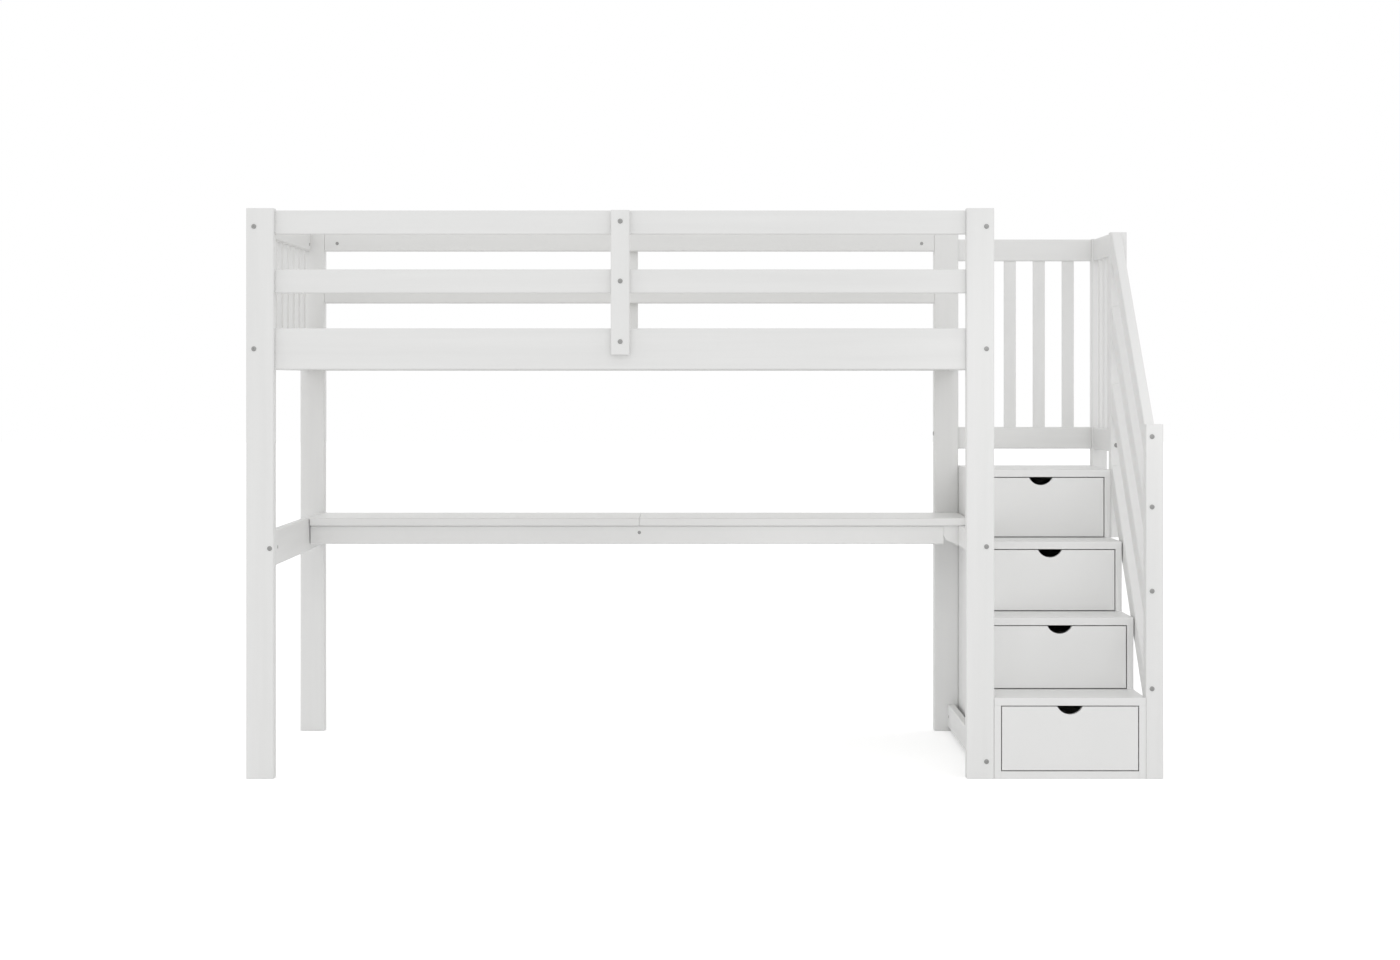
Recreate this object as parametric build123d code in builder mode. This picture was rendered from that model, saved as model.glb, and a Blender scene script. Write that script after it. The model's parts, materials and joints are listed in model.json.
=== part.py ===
from build123d import *
import os
from math import atan2, cos, degrees

# A wooden loft bed: a raised bed on four posts, a desk across the back under it, and a staircase of
# four drawers at its right end. Millimetres, +Z up, the front faces -Y, and the origin is on the floor
# at the middle of the whole piece.

# Bed frame
bed_length = 2000.0
bed_depth = 1080.0
post_height = 1526.0
post_width = 74.0
post_depth = 45.0
post_round = 4.0
rail_thickness = 22.0
rail_ease = 2.5
side_rail_bottom = 1094.5
side_rail_height = 110.5
guard_rail_height = 64.0
guard_top_drop = 5.0
end_rail_inset = 10.0

# Centre uprights, which tie each pair of guard rails to its side rail
upright_width = 50.5
upright_foot_rise = 39.5

# Upright slats of the guards
slat_width = 36.0
slat_thickness = 12.0
slat_tenon = 12.0
end_slat_count = 8
entry_slat_count = 3
entry_guard_depth = 405.0

# Bed base
ledge_width = 22.0
ledge_height = 30.0
ledge_rise = 20.0
ledge_end_gap = 2.0
base_slat_width = 68.0
base_slat_thickness = 18.0
base_slat_count = 14
base_slat_play = 2.0

# Desk
desk_height = 664.0
desk_thickness = 23.0
desk_depth = 350.0
desk_seam_x = 1037.0
desk_seam_gap = 0.5
desk_left_gap = 2.0
desk_right_gap = 4.0
desk_round = 3.0
left_desk_rail_height = 96.0
right_desk_rail_height = 59.0
apron_height = 54.0
apron_setback = 16.0
bracket_corner = 22.0
bracket_rise = 12.0
batten_width = 80.0
batten_thickness = 20.0
floor_rail_clearance = 12.0
floor_rail_height = 69.0

# Stair cabinet
stair_width = 405.0
panel_thickness = 18.0
step_count = 4
step_rise = 196.4
step_going = 214.0
base_thickness = 20.6
tread_thickness = 21.0
tread_round = 3.0
housing_depth = 5.0
shelf_tail = 20.0
shelf_back_gap = 23.0
back_thickness = 6.0
back_inset = 9.0

# Stair posts and rails
stair_post_width = 47.0
stair_post_height = 1495.0
newel_proud = 1.0
slanted_thickness = 27.0
slanted_width = 65.0
slanted_drops = (0.0, 214.0, 439.0, 675.0)
newel_bolt_drops = (33.0, 221.0, 446.0, 707.0)
stair_rail_offset = 16.5
stair_guard_rail_height = 66.0
stair_guard_top_drop = 1.0
stair_guard_clearance = 51.0
back_slat_count = 4
side_slat_count = 3

# Drawers
drawer_gap = 1.8
drawer_side_gap = 3.0
drawer_run_gap = 0.3
drawer_front_thickness = 16.0
drawer_front_ease = 1.2
drawer_side_height = 130.0
drawer_side_thickness = 12.0
drawer_bottom_thickness = 6.0
drawer_bottom_rise = 8.0
drawer_groove = 6.0
scoop_width = 68.0
scoop_depth = 21.5

# Connector bolts
bolt_radius = 3.0
bolt_play = 0.5
bolt_tip_gap = 2.0
head_radius = 6.5
head_thickness = 1.5
post_bolt_grip = 50.0

# Places along X
left = -(bed_length + stair_width + stair_post_width) / 2
right = left + bed_length
inner_left = left + post_width
inner_right = right - post_width
centre_x = left + bed_length / 2
left_rail = (left + end_rail_inset, left + end_rail_inset + rail_thickness)
right_rail = (right - end_rail_inset - rail_thickness, right - end_rail_inset)
left_desk_rail = (inner_left - rail_thickness, inner_left)
stair_right = right + stair_width
newel_right = stair_right + stair_post_width
opening_left = right + panel_thickness
opening_right = stair_right - panel_thickness
opening_centre = (opening_left + opening_right) / 2
stair_rail_x = stair_right + stair_rail_offset

# Places along Y
front = -bed_depth / 2
back = bed_depth / 2
bay_front = front + post_depth
bay_back = back - post_depth
desk_front = bay_back - desk_depth
apron_front = desk_front + apron_setback
risers = [front + step_going * step for step in range(step_count)]
middle_post_front = risers[-1]
middle_post_back = middle_post_front + post_depth
back_panel_y = (back - back_inset - back_thickness, back - back_inset)
shelf_length = back_panel_y[0] - shelf_back_gap - risers[-1]
drawer_depth = shelf_length - shelf_tail

# Heights
guard_top = post_height - guard_top_drop
guard_bottom = guard_top - guard_rail_height
side_rail_top = side_rail_bottom + side_rail_height
guard_gap = (guard_bottom - side_rail_top - guard_rail_height) / 2
middle_guard = (side_rail_top + guard_gap, guard_bottom - guard_gap)
ledge_bottom = side_rail_bottom + ledge_rise
ledge_top = ledge_bottom + ledge_height
desk_underside = desk_height - desk_thickness
tread_tops = [base_thickness + step_rise * (step + 1) for step in range(step_count)]
shelf_tops = [base_thickness] + tread_tops[:-1]
carcass_top = tread_tops[-1] - tread_thickness
stair_guard_top = stair_post_height - stair_guard_top_drop
stair_guard_foot = tread_tops[-1] + stair_guard_clearance
stair_slope = step_rise / step_going
slanted_run = middle_post_front - bay_front
slanted_fall = stair_slope * slanted_run
slanted_upright_height = slanted_width / cos(atan2(step_rise, step_going))

os.makedirs("parts", exist_ok=True)


def middle(span):
    """The middle of a low and high pair."""
    return (span[0] + span[1]) / 2


def size(span):
    """The distance from the low to the high of a pair."""
    return span[1] - span[0]


def keep(piece, name):
    """Label a finished piece and write its file."""
    piece.part.label = name
    export_step(piece.part, f"parts/{name}.step")


def front_bolts(x, y, heights):
    """Seats of bolts whose heads lie on a face that looks forward."""
    return [Plane(origin=(x, y, z), z_dir=(0, -1, 0)) for z in heights]


def back_bolts(x, y, heights):
    """Seats of bolts whose heads lie on a face that looks backward."""
    return [Plane(origin=(x, y, z), z_dir=(0, 1, 0)) for z in heights]


def board(x, y, z, along, ease=rail_ease, bolts=(), grip=0.0, slots=(), slot_z=0.0, slot_depth=0.0):
    """A straight board with eased long edges, bored for its bolts and mortised for its slats."""
    with BuildPart() as piece:
        with BuildSketch(Plane.XY.offset(z[0])):
            with Locations((middle(x), middle(y))):
                Rectangle(size(x), size(y))
        extrude(amount=size(z))
        chamfer(piece.edges().filter_by(along), ease)
        if bolts:
            with Locations(*bolts):
                Hole(bolt_radius + bolt_play, depth=grip)
        if slots:
            with BuildSketch(Plane.XY.offset(slot_z)):
                for x, y, width, depth in slots:
                    with Locations((x, y)):
                        Rectangle(width, depth)
            extrude(amount=slot_depth, mode=Mode.SUBTRACT)
    return piece


def post(x, y, z, bolts=()):
    """An upright post with rounded corners, bored through for its bolts."""
    with BuildPart() as piece:
        with BuildSketch(Plane.XY.offset(z[0])):
            with Locations((middle(x), middle(y))):
                RectangleRounded(size(x), size(y), post_round)
        extrude(amount=size(z))
        if bolts:
            with Locations(*bolts):
                Hole(bolt_radius + bolt_play, depth=size(y))
    return piece


def slat_centres(span, count):
    """The middles of slats that leave equal gaps between themselves and the ends of a bay."""
    gap = (size(span) - count * slat_width) / (count + 1)
    return [span[0] + gap + slat_width / 2 + (gap + slat_width) * place for place in range(count)]


def slats(places, z):
    """Upright slats, tenoned into the rails above and below, at the centres and sizes given."""
    with BuildPart() as pieces:
        with BuildSketch(Plane.XY.offset(z[0] - slat_tenon)):
            for x, y, width, depth in places:
                with Locations((x, y)):
                    Rectangle(width, depth)
        extrude(amount=size(z) + 2 * slat_tenon)
    return pieces


# Bolt seats, by the piece that carries the heads
bolt_grip = post_depth + post_bolt_grip
bore_depth = bolt_grip + bolt_tip_gap
top_bolt = guard_bottom + 20.0
bed_bolt = side_rail_bottom + side_rail_height / 2
left_desk_bolt = desk_height - left_desk_rail_height / 2
right_desk_bolt = desk_underside - 20.0
left_end_heights = [top_bolt, bed_bolt]
right_front_heights = [top_bolt, bed_bolt, right_desk_bolt]
right_back_heights = right_front_heights[1:]

left_front_seats = front_bolts(middle(left_rail), front, left_end_heights)
left_front_seats += front_bolts(middle(left_desk_rail), front, [left_desk_bolt])
left_back_seats = back_bolts(middle(left_rail), back, left_end_heights)
left_back_seats += back_bolts(middle(left_desk_rail), back, [left_desk_bolt])
right_front_seats = front_bolts(middle(right_rail), front, right_front_heights)
right_back_seats = back_bolts(middle(right_rail), back, right_back_heights)
left_seats = left_front_seats + left_back_seats
right_seats = right_front_seats + right_back_seats

slanted_tops = [stair_post_height - drop for drop in slanted_drops]
newel_height = stair_post_height - slanted_fall + newel_proud
newel_seats = front_bolts(stair_rail_x, front, [newel_height - drop for drop in newel_bolt_drops])
side_guard_rails = [
    (stair_guard_foot, stair_guard_foot + stair_guard_rail_height),
    (stair_guard_top - stair_guard_rail_height, stair_guard_top),
]

# Bed posts
bed_post_z = (0.0, post_height)
front_span = (front, bay_front)
back_span = (bay_back, back)
left_span = (left, inner_left)
right_span = (inner_right, right)
keep(post(left_span, front_span, bed_post_z, left_front_seats), "post_front_left")
keep(post(right_span, front_span, bed_post_z, right_front_seats), "post_front_right")
keep(post(left_span, back_span, bed_post_z, left_back_seats), "post_back_left")
keep(post(right_span, back_span, bed_post_z, right_back_seats), "post_back_right")

# Side rails and guard rails, front and back, with their inner faces flush with the posts'
side_heights = {
    "side_rail": (side_rail_bottom, side_rail_top),
    "guard_top": (guard_bottom, guard_top),
    "guard_middle": middle_guard,
}
side_places = {
    "front": (bay_front - rail_thickness, bay_front),
    "back": (bay_back, bay_back + rail_thickness),
}
for side, y in side_places.items():
    for name, z in side_heights.items():
        keep(board((inner_left, inner_right), y, z, Axis.X), f"{name}_{side}")

# Centre uprights, on the outer side of the rails
upright_x = (centre_x - upright_width / 2, centre_x + upright_width / 2)
upright_z = (side_rail_bottom + upright_foot_rise, guard_top)
upright_thickness = post_depth - rail_thickness
keep(board(upright_x, (front, front + upright_thickness), upright_z, Axis.Z), "upright_front")
keep(board(upright_x, (back - upright_thickness, back), upright_z, Axis.Z), "upright_back")

# Ends of the bed: bed-level rails, and guards whose slats stand between two rails
bay = (bay_front, bay_back)
bed_level = (side_rail_bottom, side_rail_top)
guard_level = (guard_bottom, guard_top)
guard_slat_z = (side_rail_top, guard_bottom)
entry_upright_y = (bay_front + entry_guard_depth - upright_width, bay_front + entry_guard_depth)
entry_bay = (bay_front, entry_upright_y[0])
left_slats = [
    (middle(left_rail), y, slat_thickness, slat_width) for y in slat_centres(bay, end_slat_count)
]
entry_slats = [
    (middle(right_rail), y, slat_thickness, slat_width)
    for y in slat_centres(entry_bay, entry_slat_count)
]



def end_rail(x, y, z, seats, slots, slot_z, slot_depth, name):
    """A rail of an end guard, bolted at its posts and mortised for the slats."""
    keep(board(x, y, z, Axis.Y, rail_ease, seats, bore_depth, slots, slot_z, slot_depth), name)


end_rail(left_rail, bay, bed_level, left_seats, left_slats, side_rail_top, -slat_tenon, "left_end_rail")
end_rail(left_rail, bay, guard_level, left_seats, left_slats, guard_bottom, slat_tenon, "left_top_rail")
end_rail(
    right_rail, bay, bed_level, right_seats, entry_slats, side_rail_top, -slat_tenon, "right_end_rail"
)
end_rail(
    right_rail, entry_bay, guard_level, right_front_seats, entry_slats, guard_bottom, slat_tenon,
    "entry_guard_rail",
)
entry_upright = board(right_rail, entry_upright_y, (side_rail_top, guard_top), Axis.Z)
keep(entry_upright, "entry_guard_upright")
keep(slats(left_slats + entry_slats, guard_slat_z), "end_guard_slats")

# Lower rails of the ends
left_desk_z = (desk_height - left_desk_rail_height, desk_height)
right_desk_z = (desk_underside - right_desk_rail_height, desk_underside)
floor_rail_z = (floor_rail_clearance, floor_rail_clearance + floor_rail_height)
left_low_rail = board(left_desk_rail, bay, left_desk_z, Axis.Y, bolts=left_seats, grip=bore_depth)
keep(left_low_rail, "left_desk_rail")
right_low_rail = board(right_rail, bay, right_desk_z, Axis.Y, bolts=right_seats, grip=bore_depth)
keep(right_low_rail, "right_desk_rail")
floor_rail = board(right_rail, bay, floor_rail_z, Axis.Y, bolts=right_seats, grip=bore_depth)
keep(floor_rail, "right_floor_rail")

# Bed base: a ledge inside each side rail, and slats across them
base_x = (left_rail[1] + ledge_end_gap, right_rail[0] - ledge_end_gap)
with BuildPart() as ledges:
    with BuildSketch(Plane.XY.offset(ledge_bottom)):
        with Locations(
            (middle(base_x), bay_front + ledge_width / 2), (middle(base_x), bay_back - ledge_width / 2)
        ):
            Rectangle(size(base_x), ledge_width)
    extrude(amount=ledge_height)
keep(ledges, "slat_ledges")

base_slat_pitch = (size(base_x) - base_slat_width) / (base_slat_count - 1)
with BuildPart() as base_slats:
    with BuildSketch(Plane.XY.offset(ledge_top)):
        with Locations((middle(base_x), 0)):
            with GridLocations(base_slat_pitch, 1, base_slat_count, 1):
                Rectangle(base_slat_width, size(bay) - 2 * base_slat_play)
    extrude(amount=base_slat_thickness)
keep(base_slats, "mattress_slats")

# Desk: two boards that meet at a seam, on an apron, a back rail, a batten and the right rail
desk_left = inner_left + desk_left_gap
desk_right = right - desk_right_gap
seam = left + desk_seam_x
desk_y = (desk_front, bay_back)
desk_z = (desk_underside, desk_height)
apron_y = (apron_front, apron_front + rail_thickness)
back_rail_y = (bay_back - rail_thickness, bay_back)
apron_z = (desk_underside - apron_height, desk_underside)
keep(board((desk_left, seam - desk_seam_gap / 2), desk_y, desk_z, Axis.X, desk_round), "desk_board_left")
keep(board((seam + desk_seam_gap / 2, desk_right), desk_y, desk_z, Axis.X, desk_round), "desk_board_right")
keep(board((desk_left, inner_right), apron_y, apron_z, Axis.X), "desk_apron")
keep(board((desk_left, right_rail[0]), back_rail_y, apron_z, Axis.X), "desk_back_rail")
batten_x = (seam - batten_width / 2, seam + batten_width / 2)
batten_y = (apron_y[1], back_rail_y[0])
batten_z = (desk_underside - batten_thickness, desk_underside)
keep(board(batten_x, batten_y, batten_z, Axis.Y), "desk_batten")

# Bracket between the apron's right end and the right rail, with its outer lower corner rounded off
with BuildPart() as bracket:
    with BuildSketch(Plane.XZ.offset(-apron_y[1])):
        with BuildLine():
            Polyline(
                (inner_right, right_desk_z[0] + bracket_rise + bracket_corner),
                (inner_right, right_desk_z[1]),
                (right_rail[0], right_desk_z[1]),
                (right_rail[0], right_desk_z[0]),
                (inner_right + bracket_corner, right_desk_z[0] + bracket_rise),
            )
            TangentArc(
                (inner_right + bracket_corner, right_desk_z[0] + bracket_rise),
                (inner_right, right_desk_z[0] + bracket_rise + bracket_corner),
                tangent=(-1, 0),
            )
        make_face()
    extrude(amount=rail_thickness)
keep(bracket, "desk_bracket")


# Stair cabinet: side panels cut to the steps, housed for the boards that the drawers slide on
def stair_panel(x, housing_x, name):
    """A side panel with a stepped front edge, housed on its inner face for shelves and back."""
    outline = [(back, 0), (front, 0), (front, tread_tops[0] - tread_thickness)]
    for riser, lower, top in zip(risers[1:], tread_tops, tread_tops[1:]):
        outline += [(riser, lower - tread_thickness), (riser, top - tread_thickness)]
    outline.append((back, carcass_top))
    with BuildPart() as panel:
        with BuildSketch(Plane.YZ.offset(x[0])):
            with BuildLine():
                Polyline(*outline, close=True)
            make_face()
        extrude(amount=size(x))
        with BuildSketch(Plane.YZ.offset(housing_x[0])):
            for riser, top in zip(risers[1:], tread_tops):
                with Locations((riser + shelf_length / 2, top - tread_thickness / 2)):
                    Rectangle(shelf_length, tread_thickness)
            with Locations((middle(back_panel_y), carcass_top / 2)):
                Rectangle(back_thickness, carcass_top)
        extrude(amount=size(housing_x), mode=Mode.SUBTRACT)
    keep(panel, name)


stair_panel((right, opening_left), (opening_left - housing_depth, opening_left), "stair_panel_left")
stair_panel((opening_right, stair_right), (opening_right, opening_right + housing_depth), "stair_panel_right")

# Treads: full width over the panels, then a narrower shelf that runs back between them
housed_width = opening_right - opening_left + 2 * housing_depth
step_ends = risers[1:] + [back]
for number, (riser, end, top) in enumerate(zip(risers, step_ends, tread_tops), start=1):
    with BuildPart() as tread:
        with BuildSketch(Plane.XY.offset(top - tread_thickness)):
            with Locations(((right + stair_right) / 2, (riser + end) / 2)):
                Rectangle(stair_width, end - riser)
            if number < step_count:
                with Locations((opening_centre, end + shelf_length / 2)):
                    Rectangle(housed_width, shelf_length)
        extrude(amount=tread_thickness)
        nosing = tread.edges().filter_by(Axis.X).group_by(Axis.Y)[0].sort_by(Axis.Z)[-1]
        fillet(nosing, tread_round)
    keep(tread, f"tread_{number}")

with BuildPart() as base:
    with BuildSketch():
        with Locations((opening_centre, front + shelf_length / 2)):
            Rectangle(opening_right - opening_left, shelf_length)
    extrude(amount=base_thickness)
keep(base, "stair_base_board")

with BuildPart() as back_panel:
    with BuildSketch():
        with Locations((opening_centre, middle(back_panel_y))):
            Rectangle(housed_width, back_thickness)
    extrude(amount=carcass_top)
keep(back_panel, "stair_back_panel")

# Posts of the stair rails
stair_post_x = (stair_right, newel_right)
keep(post(stair_post_x, front_span, (0.0, newel_height), newel_seats), "newel_post")
middle_post_z = (tread_tops[-2], stair_post_height)
middle_post_y = (middle_post_front, middle_post_back)
keep(post(stair_post_x, middle_post_y, middle_post_z), "middle_post")
keep(post(stair_post_x, back_span, (0.0, stair_post_height)), "corner_post")

# Slanted rails, parallel to the stairs, cut upright where they meet the newel and the middle post
with BuildPart() as slanted:
    with BuildSketch(Plane.YZ.offset(stair_rail_x - slanted_thickness / 2)):
        for top in slanted_tops:
            with BuildLine():
                Polyline(
                    (middle_post_front, top),
                    (bay_front, top - slanted_fall),
                    (bay_front, top - slanted_fall - slanted_upright_height),
                    (middle_post_front, top - slanted_upright_height),
                    close=True,
                )
            make_face()
    extrude(amount=slanted_thickness)
    chamfer(slanted.edges().filter_by(lambda edge: edge.length > slanted_run), rail_ease)
    with Locations(*newel_seats):
        Hole(bolt_radius + bolt_play, depth=bore_depth)
keep(slanted, "slanted_rails")


# Guards round the top step: two rails and the slats between them
def stair_guard_rails(x, y, along, places, name):
    """The bottom and top rails of a guard, mortised for its slats."""
    with BuildPart() as rails:
        for span in side_guard_rails:
            with BuildSketch(Plane.XY.offset(span[0])):
                with Locations((middle(x), middle(y))):
                    Rectangle(size(x), size(y))
            extrude(amount=size(span))
        chamfer(rails.edges().filter_by(along), rail_ease)
        with BuildSketch(Plane.XY.offset(side_guard_rails[0][1] - slat_tenon)):
            for x, y, width, depth in places:
                with Locations((x, y)):
                    Rectangle(width, depth)
        extrude(amount=side_guard_rails[1][0] - side_guard_rails[0][1] + 2 * slat_tenon, mode=Mode.SUBTRACT)
    keep(rails, name)


stair_slat_z = (side_guard_rails[0][1], side_guard_rails[1][0])
back_guard_x = (right, stair_right)
back_guard_y = (middle(back_span) - rail_thickness / 2, middle(back_span) + rail_thickness / 2)
back_slats = [
    (x, middle(back_guard_y), slat_width, slat_thickness)
    for x in slat_centres(back_guard_x, back_slat_count)
]
stair_guard_rails(back_guard_x, back_guard_y, Axis.X, back_slats, "back_guard_rails")
keep(slats(back_slats, stair_slat_z), "back_guard_slats")

side_guard_x = (stair_rail_x - rail_thickness / 2, stair_rail_x + rail_thickness / 2)
side_guard_y = (middle_post_back, bay_back)
side_slats = [
    (middle(side_guard_x), y, slat_thickness, slat_width)
    for y in slat_centres(side_guard_y, side_slat_count)
]
stair_guard_rails(side_guard_x, side_guard_y, Axis.Y, side_slats, "side_guard_rails")
keep(slats(side_slats, stair_slat_z), "side_guard_slats")

# Drawers: an inset front with a finger scoop, a box whose back is housed in its sides, and a bottom
# that slides into grooves in the sides and the front
front_x = (opening_left + drawer_gap, opening_right - drawer_gap)
box_x = (opening_left + drawer_side_gap, opening_right - drawer_side_gap)
cavity_height = step_rise - tread_thickness
scoop_radius = (scoop_width**2 / 4 + scoop_depth**2) / (2 * scoop_depth)
side_x = (box_x[0] + drawer_side_thickness / 2, box_x[1] - drawer_side_thickness / 2)
inner_width = size(box_x) - 2 * drawer_side_thickness
bottom_width = inner_width + 2 * drawer_groove
for number, (riser, shelf) in enumerate(zip(risers, shelf_tops), start=1):
    box_front = riser + drawer_front_thickness
    box_back = riser + drawer_depth
    box_z = (shelf + drawer_run_gap, shelf + drawer_run_gap + drawer_side_height)
    bottom_z = (box_z[0] + drawer_bottom_rise, box_z[0] + drawer_bottom_rise + drawer_bottom_thickness)
    back_y = (box_back - 2 * drawer_side_thickness, box_back - drawer_side_thickness)
    bottom_y = (box_front - drawer_groove, back_y[1])
    front_z = (shelf + drawer_gap, shelf + cavity_height - drawer_gap)

    with BuildPart() as drawer_front:
        with BuildSketch(Plane.XY.offset(front_z[0])):
            with Locations((opening_centre, (riser + box_front) / 2)):
                Rectangle(size(front_x), drawer_front_thickness)
        extrude(amount=size(front_z))
        chamfer(drawer_front.edges().group_by(Axis.Y)[0], drawer_front_ease)
        with BuildSketch(Plane.XZ.offset(-riser)):
            with Locations((opening_centre, front_z[1] - scoop_depth + scoop_radius)):
                Circle(scoop_radius)
        extrude(amount=-drawer_front_thickness, mode=Mode.SUBTRACT)
        with BuildSketch(Plane.XY.offset(bottom_z[0])):
            with Locations((opening_centre, box_front - drawer_groove / 2)):
                Rectangle(bottom_width, drawer_groove)
        extrude(amount=drawer_bottom_thickness, mode=Mode.SUBTRACT)
    keep(drawer_front, f"drawer_{number}_front")

    with BuildPart() as box_sides:
        with BuildSketch(Plane.XY.offset(box_z[0])):
            with Locations((side_x[0], (box_front + box_back) / 2), (side_x[1], (box_front + box_back) / 2)):
                Rectangle(drawer_side_thickness, box_back - box_front)
        extrude(amount=drawer_side_height)
        with BuildSketch(Plane.XY.offset(bottom_z[0])):
            with Locations((opening_centre, middle(bottom_y))):
                Rectangle(bottom_width, size(bottom_y))
        extrude(amount=drawer_bottom_thickness, mode=Mode.SUBTRACT)
        with BuildSketch(Plane.XY.offset(bottom_z[1])):
            with Locations((opening_centre, middle(back_y))):
                Rectangle(bottom_width, size(back_y))
        extrude(amount=box_z[1] - bottom_z[1], mode=Mode.SUBTRACT)
    with BuildPart() as box_back_board:
        with BuildSketch(Plane.XY.offset(bottom_z[1])):
            with Locations((opening_centre, middle(back_y))):
                Rectangle(bottom_width, size(back_y))
        extrude(amount=box_z[1] - bottom_z[1])
    box_sides.part = Part([*box_sides.solids(), *box_back_board.solids()])
    keep(box_sides, f"drawer_{number}_box")

    with BuildPart() as bottom:
        with BuildSketch(Plane.XY.offset(bottom_z[0])):
            with Locations((opening_centre, middle(bottom_y))):
                Rectangle(bottom_width, size(bottom_y))
        extrude(amount=drawer_bottom_thickness)
    keep(bottom, f"drawer_{number}_bottom")

# Connector bolts: a flat disc head on the wood and a shank that runs into the rail's end
with BuildPart() as bolts:
    with Locations(*left_seats, *right_seats, *newel_seats):
        Cylinder(head_radius, head_thickness, align=(Align.CENTER, Align.CENTER, Align.MIN))
        Cylinder(bolt_radius, bolt_grip, align=(Align.CENTER, Align.CENTER, Align.MAX))
keep(bolts, "connector_bolts")

print(f"stair slope {degrees(atan2(step_rise, step_going)):.1f} degrees, newel {newel_height:.1f} mm")
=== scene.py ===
import json
from math import cos, radians, sin
from random import Random

import bmesh
import bpy
from bpy.props import FloatProperty, FloatVectorProperty, IntProperty, PointerProperty
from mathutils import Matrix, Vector

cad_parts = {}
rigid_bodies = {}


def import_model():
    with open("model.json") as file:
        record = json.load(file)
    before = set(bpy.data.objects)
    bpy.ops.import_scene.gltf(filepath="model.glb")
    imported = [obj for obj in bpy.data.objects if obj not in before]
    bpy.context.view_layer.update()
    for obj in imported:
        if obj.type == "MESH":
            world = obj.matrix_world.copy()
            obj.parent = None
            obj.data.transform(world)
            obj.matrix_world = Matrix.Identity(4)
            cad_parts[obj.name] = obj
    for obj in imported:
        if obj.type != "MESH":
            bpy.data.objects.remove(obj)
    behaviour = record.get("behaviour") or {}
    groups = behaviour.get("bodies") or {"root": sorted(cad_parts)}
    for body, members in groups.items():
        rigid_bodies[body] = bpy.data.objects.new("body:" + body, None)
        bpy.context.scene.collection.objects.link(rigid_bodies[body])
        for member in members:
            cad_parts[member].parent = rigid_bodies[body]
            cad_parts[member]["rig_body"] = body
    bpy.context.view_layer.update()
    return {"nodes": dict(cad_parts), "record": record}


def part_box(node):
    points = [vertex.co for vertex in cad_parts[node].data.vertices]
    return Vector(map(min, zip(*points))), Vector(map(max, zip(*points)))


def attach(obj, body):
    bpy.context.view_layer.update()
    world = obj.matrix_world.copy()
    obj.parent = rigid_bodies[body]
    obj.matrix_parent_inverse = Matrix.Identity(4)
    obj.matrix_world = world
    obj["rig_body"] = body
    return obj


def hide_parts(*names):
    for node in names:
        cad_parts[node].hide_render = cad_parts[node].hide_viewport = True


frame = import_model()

bl_info = {
    "name": "Loft bed with desk and storage stairs",
    "version": (1, 0, 0),
    "blender": (4, 5, 0),
    "location": "View3D > Sidebar > Loft bed",
    "description": "Dresses a painted loft bed, its desk and its drawer stairs",
    "category": "Object",
}

MM = 0.001
FULL_TURN = radians(360.0)
WHITE = (1.0, 1.0, 1.0, 1.0)

FRONT = Vector((0.0, -1.0, 0.0))
BACK = Vector((0.0, 1.0, 0.0))
LEFT = Vector((-1.0, 0.0, 0.0))
RIGHT = Vector((1.0, 0.0, 0.0))

# How near two corners are that become one, and how flat two faces are that become one
WELD = 1e-6
FLAT_ANGLE = radians(1.0)
# The digits of a metre by which the solids of a node are put in order
ORDER_DIGITS = 4
# From what angle an edge is an arris, and from what angle a rounded piece shades it as one
SHARP_ANGLE = radians(30.0)
SHADE_ANGLE = radians(50.0)
# The edges round a bore are shorter than this
RIM_EDGE = 1.5 * MM
# How far apart the grains of two boards may lie
GRAIN_SHIFT = 40.0
# The part of a noise's range over which it blends two colours
BLEND_SPAN = (0.3, 0.7)

# How far a bolt, nut or screw is from the top, the middle or the bottom of the rail that it holds
GUARD_BOLT_DROP = 30.0 * MM
SIDE_BOLT_DROP = 36.0 * MM
FOOT_BOLT_RISE = 20.0 * MM
CORNER_BOLT_RISE = 13.0 * MM
GUARD_NUT_RISE = 8.0 * MM
SEAM_SCREW_RISE = 7.0 * MM

# The facets round a bolt head and a nut, and the softened rim and the socket's depth of a head
HEAD_SIDES = 30
NUT_SIDES = 24
HEAD_RIM = 0.5 * MM
SOCKET_DEPTH = 1.2 * MM
HEXAGON_SIDE = radians(60.0)

# The floor's half width
FLOOR_REACH = 40.0
# Where each fill lamp hangs and what it is aimed at
DESK_FILL = ((-0.3, -0.9, 0.3), (0.78, 0.35, 0.4))
STAIR_FILL = ((1.1, -1.35, 1.4), (1.0, 0.2, 0.8))
# The width of a fill lamp, how far the light of every lamp spreads, and how far the key leans
FILL_SIZE = 0.6
SOFT_ANGLE = radians(60.0)
KEY_TILT = radians(75.0)
# What is fixed about the camera
SENSOR_WIDTH = 36.0
CAMERA_SHIFT = (0.0025, -0.0716)
CAMERA_REACH = 200.0


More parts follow.
